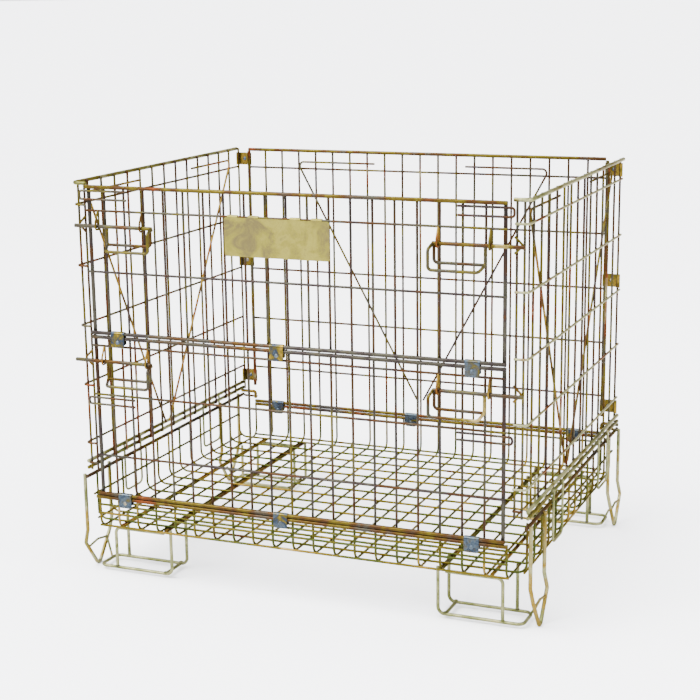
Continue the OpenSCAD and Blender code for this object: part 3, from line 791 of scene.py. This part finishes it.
# ---- Back ----
def back_panel():
    """Back mesh with its thick end rods, its rails and its two braces."""
    metal = Metal()
    xs = spaced(LONG_WIRES - 2, pitch)
    for x in xs:
        tube(metal, [(x, back_y, back_low[2]), (x, back_y, back_high[2])], WIRE)
    for x in (-pivot_x, pivot_x):
        end_rod = [(x, back_y, side_bottom + 0.009), (x, back_y, top_rod_z - ROD)]
        tube(metal, end_rod, ROD, sides=20, tint=RUSSET_TINT)
    for z in side_levels:
        tube(metal, [(-back_high[0], back_y + LAYER, z), (back_high[0], back_y + LAYER, z)], WIRE)
    welds_facing_y(metal, xs + [-pivot_x, pivot_x], side_levels, back_y + LAYER / 2)
    finish_piece("back_panel_wires", metal, ["back_mesh"], side_metal)
    rails("back_rails", [(back_hinge_z, WARM_TINT), (top_rod_z, WARM_TINT)], rail_back_y)
    brace = Metal()
    low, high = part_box("back_braces")
    y = (low[1] + high[1]) / 2
    z = side_levels[0] + 0.017
    for side in (-1, 1):
        tube(brace, [(side * 0.113, y, z), (side * 0.314, y, z), (side * 0.008, y, back_hinge_z + 0.040)],
             WIRE, 0.010)
    finish_piece("back_brace_wires", brace, ["back_braces"], side_metal)


# ---- Sides ----
CORNER_LEVELS = [side_levels[0] + 0.020, side_levels[2] + 0.020, side_levels[4] - 0.023]
CUP_GAP = 0.0003
return_y = front_y + 0.014
second_rod_z = side_bottom + 0.014


def side_mesh(name, flip):
    """Uprights and level wires of a side, with its turned-in front edge."""
    x = half_w + LAYER
    corner_y = return_y - LAYER
    return_xs = (half_w - 0.019, half_w - RETURN_GAP)
    return_end = return_xs[0] - 0.003
    ys = [side_first_y + i * side_pitch for i in range(SIDE_WIRES)]
    mesh = Metal()
    for y in ys:
        tube(mesh, [(half_w, y, side_low[2]), (half_w, y, side_high[2])], WIRE)
    for u in return_xs:
        tube(mesh, [(u, return_y, side_low[2]), (u, return_y, top_rod_z - ROD)], WIRE)
    for z in side_levels:
        path = [(x, side_high[1], z), (x, corner_y, z), (return_end, corner_y, z)]
        # Level wires are drawn at the pale end of the row: painted highlight for horizontal wires lit from
        # above, not the zinc's own colour.
        tube(mesh, path, WIRE, 0.010, tint=PAINTED_HIGHLIGHT_TINT)
    tube(mesh, [(return_end, corner_y, second_rod_z), (return_xs[1] + 0.003, corner_y, second_rod_z)], WIRE)
    welds_facing_x(mesh, ys, side_levels, half_w + LAYER / 2)
    welds_facing_x(mesh, ys, [top_rod_z, side_bottom, second_rod_z], half_w + 0.003, ROD_WELD)
    welds_facing_y(mesh, return_xs, side_levels, return_y - LAYER / 2)
    nodes = [f"{name}_side_mesh", f"{name}_front_return"]
    finish_piece(f"{name}_side_wires", flip(mesh), nodes, side_metal)


def side_rods(name, flip):
    """Top rod, bent round the front corner, and the two bottom rods."""
    low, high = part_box("right_side_rods")
    turn_y = low[1] + ROD
    top = [(rod_side_x, high[1], top_rod_z), (rod_side_x, turn_y, top_rod_z), (low[0], turn_y, top_rod_z)]
    rods = Metal()
    tube(rods, top, ROD, 0.014, sides=20)
    for z in (second_rod_z, side_bottom):
        tube(rods, [(rod_side_x, front_y + 0.0165, z), (rod_side_x, high[1], z)], ROD, sides=20)
    finish_piece(f"{name}_side_rods_metal", flip(rods), [f"{name}_side_rods"], side_rod_metal)


def side_brace(name, flip):
    """Two bent wires that lean towards each other at the foot."""
    x = half_w - 2 * WIRE
    top = side_levels[0] + 0.022
    foot_y = mid_y - 0.035
    foot_z = side_bottom + 0.018
    brace = Metal()
    for start, bend, end in ((-0.118, -0.330, -0.008), (0.122, 0.322, 0.008)):
        path = [(x, mid_y + start, top), (x, mid_y + bend, top), (x, foot_y + end, foot_z)]
        tube(brace, path, WIRE, 0.010)
    finish_piece(f"{name}_brace_wires", flip(brace), [f"{name}_brace"], rod_metal)


def side_keepers(name, flip):
    """V-shaped wires behind the tips of the latch rods."""
    y = return_y - 2 * WIRE
    inner, outer, rise = half_w - 0.022, half_w - 0.006, 0.016
    keeper = Metal()
    for z in (upper_latch_z, lower_latch_z):
        tube(keeper, [(inner, y, z + rise), (outer, y, z), (inner, y, z - rise)], WIRE, 0.004)
    finish_piece(f"{name}_keeper_wires", flip(keeper), [f"{name}_keepers"], rod_metal)


def side_pin(name, flip):
    """Bent pin that stands in the tray's eye."""
    low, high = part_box("right_pivot_pin")
    z = high[2] - ROD
    pin = Metal()
    tube(pin, [(high[0], back_y, z), (pivot_x, back_y, z), (pivot_x, back_y, low[2])], ROD, 0.0055, sides=18)
    finish_piece(f"{name}_pivot_rod", flip(pin), [f"{name}_pivot_pin"], rod_metal)


def corner_clips(name, flip):
    """Sheets hooked round the side's last upright that cup the back's end rod from behind."""
    clips = Metal()
    radius = ROD + CUP_GAP + SHEET / 2
    for z in CORNER_LEVELS:
        def place(u, v):
            return u, v, z

        cup = arc_points((pivot_x, back_y), radius, 180, 90, 8, place)
        flat = [place(pivot_x + (half_w - pivot_x) * i / 16, back_y + radius) for i in range(1, 16)]
        hook = arc_points((half_w, back_y), radius, 90, -86, 14, place)
        sheet(clips, cup + flat + hook, (0, 0, 1), CLIP_HALF, SHEET * 0.98, 0.003, (0.0215, -0.0004, 0.007))
    finish_piece(f"{name}_corner_clip_sheet", flip(clips), [f"{name}_corner_clips"], corner_metal)


def corner_rivets(name, flip):
    """Rivets through the corner clips."""
    low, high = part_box("right_clip_rivets")
    front, back = low[1], high[1]
    inner = back_y + ROD + CUP_GAP
    rivets = Metal()
    for z in CORNER_LEVELS:
        lathe(rivets, (pivot_x + 0.014, 0, z), (0, 1, 0), [
            (0, front), (0.0026, front + 0.0001), (0.0042, front + 0.0008), (0.0045, inner - 0.0001),
            (0.0025, inner), (0.0025, inner + SHEET), (0.0045, inner + SHEET + 0.0001),
            (0.0040, back), (0, back),
        ])
    finish_piece(f"{name}_clip_rivet_heads", flip(rivets), [f"{name}_clip_rivets"], rivet_metal)


def side_panel(name, mirror):
    """Everything on one side panel, drawn on the right and mirrored for the left."""
    def flip(metal):
        return metal.mirrored() if mirror else metal

    for part in (side_mesh, side_rods, side_brace, side_keepers, side_pin, corner_clips, corner_rivets):
        part(name, flip)


tray_mesh()
tray_rims()
floor_runners()
feet_and_guides()
retaining_loops()
pivot_eyes()
hinge_hardware()
front_leaf("lower_front_mesh", lower_low[2], lower_high[2], lower_levels, [front_hinge_z, lower_top_z])
front_leaf("upper_gate_mesh", gate_low[2], gate_high[2], gate_levels, [mid_hinge_z, gate_top_z])
rails("lower_front_rails", [(front_hinge_z, WARM_TINT), (lower_top_z, COOL_TINT)], rail_front_y)
rails("upper_gate_rails", [(mid_hinge_z, COOL_TINT), (gate_top_z, WARM_TINT)], rail_front_y)
hangers("upper_latch_hangers", gate_levels[0], upper_latch_z)
hangers("lower_latch_hangers", lower_levels[0], lower_latch_z)
hairpins("upper_hairpins")
hairpins("lower_hairpins")
name_plate()
for latch_node in ("upper_left_latch", "upper_right_latch", "lower_left_latch", "lower_right_latch"):
    latch(latch_node, -1 if "left" in latch_node else 1)
back_panel()
side_panel("left", mirror=True)
side_panel("right", mirror=False)


# ---- Stage, light and camera ----
MIDDLE_HEIGHT = 0.45


def plain(name, colour, roughness):
    """A single-coloured matt material."""
    material = bpy.data.materials.new(name)
    material.use_nodes = True
    shader = material.node_tree.nodes["Principled BSDF"]
    shader.inputs["Base Color"].default_value = (*colour, 1)
    shader.inputs["Roughness"].default_value = roughness
    return material


def stage_and_light():
    """Pale floor that reaches the horizon, the sky, a broad sun and two panels."""
    far = 3000
    mesh = bpy.data.meshes.new("studio_floor")
    corners = [(-far, -far, 0), (far, -far, 0), (far, far, 0), (-far, far, 0)]
    mesh.from_pydata(corners, [], [(0, 1, 2, 3)])
    mesh.materials.append(plain("studio_white", (0.93, 0.93, 0.945), 0.85))
    floor = bpy.data.objects.new("studio_floor", mesh)
    bpy.context.scene.collection.objects.link(floor)
    sky()

    sun = bpy.data.lights.new("broad_sun", "SUN")
    sun.energy = 9
    sun.angle = math.radians(50)
    sun_object = bpy.data.objects.new("broad_sun", sun)
    sun_object.rotation_euler = (math.radians(24), math.radians(-20), 0)
    bpy.context.scene.collection.objects.link(sun_object)

    for name, place, size, power in (
        ("key_panel", (-2.4, -3.0, 3.2), 1.4, 220),
        ("side_panel", (3.4, -0.8, 2.2), 1.0, 110),
    ):
        lamp = bpy.data.lights.new(name, "AREA")
        lamp.size = size
        lamp.energy = power
        lamp_object = bpy.data.objects.new(name, lamp)
        lamp_object.location = place
        aim = Vector((0, 0, MIDDLE_HEIGHT)) - Vector(place)
        lamp_object.rotation_euler = aim.to_track_quat("-Z", "Y").to_euler()
        bpy.context.scene.collection.objects.link(lamp_object)


def sky():
    """Studio surroundings: dark low down, bright overhead, so that round bars show clear edges."""
    world = bpy.data.worlds.new("studio")
    world.use_nodes = True
    nodes = world.node_tree.nodes
    links = world.node_tree.links
    place = nodes.new("ShaderNodeTexCoord")
    split = nodes.new("ShaderNodeSeparateXYZ")
    ramp = nodes.new("ShaderNodeValToRGB")
    for position, value in ((0.12, 0.10), (0.30, 0.22), (0.42, 1.0)):
        element = ramp.color_ramp.elements.new(position)
        element.color = (value, value, value * 1.03, 1)
    ramp.color_ramp.elements[0].color = (0.5, 0.5, 0.5, 1)
    ramp.color_ramp.elements[-1].color = (0.8, 0.82, 0.85, 1)
    links.new(place.outputs["Generated"], split.inputs["Vector"])
    links.new(split.outputs["Z"], ramp.inputs["Fac"])
    links.new(ramp.outputs["Color"], nodes["Background"].inputs["Color"])
    nodes["Background"].inputs["Strength"].default_value = 4.2
    bpy.context.scene.world = world


def camera():
    """Camera at the photograph's place, as solved from its straight wires."""
    data = bpy.data.cameras.new("camera")
    data.sensor_width = 36
    data.lens = 80.12
    data.clip_end = 9000
    yaw, pitch_down, roll = 0.39583, 0.22360, -0.013569
    level = Vector((math.cos(yaw), math.sin(yaw), 0))
    flat = Vector((-math.sin(yaw), math.cos(yaw), 0))
    forward = flat * math.cos(pitch_down) - Vector((0, 0, math.sin(pitch_down)))
    up = level.cross(forward)
    right = level * math.cos(roll) + up * math.sin(roll)
    top = up * math.cos(roll) - level * math.sin(roll)
    turn = Matrix((right, top, -forward)).transposed().to_4x4()
    place = Vector((1.2545, mid_y - 3.0679, 1.199))
    camera_object = bpy.data.objects.new("camera", data)
    camera_object.matrix_world = Matrix.Translation(place) @ turn
    bpy.context.scene.collection.objects.link(camera_object)
    bpy.context.scene.camera = camera_object


stage_and_light()
camera()
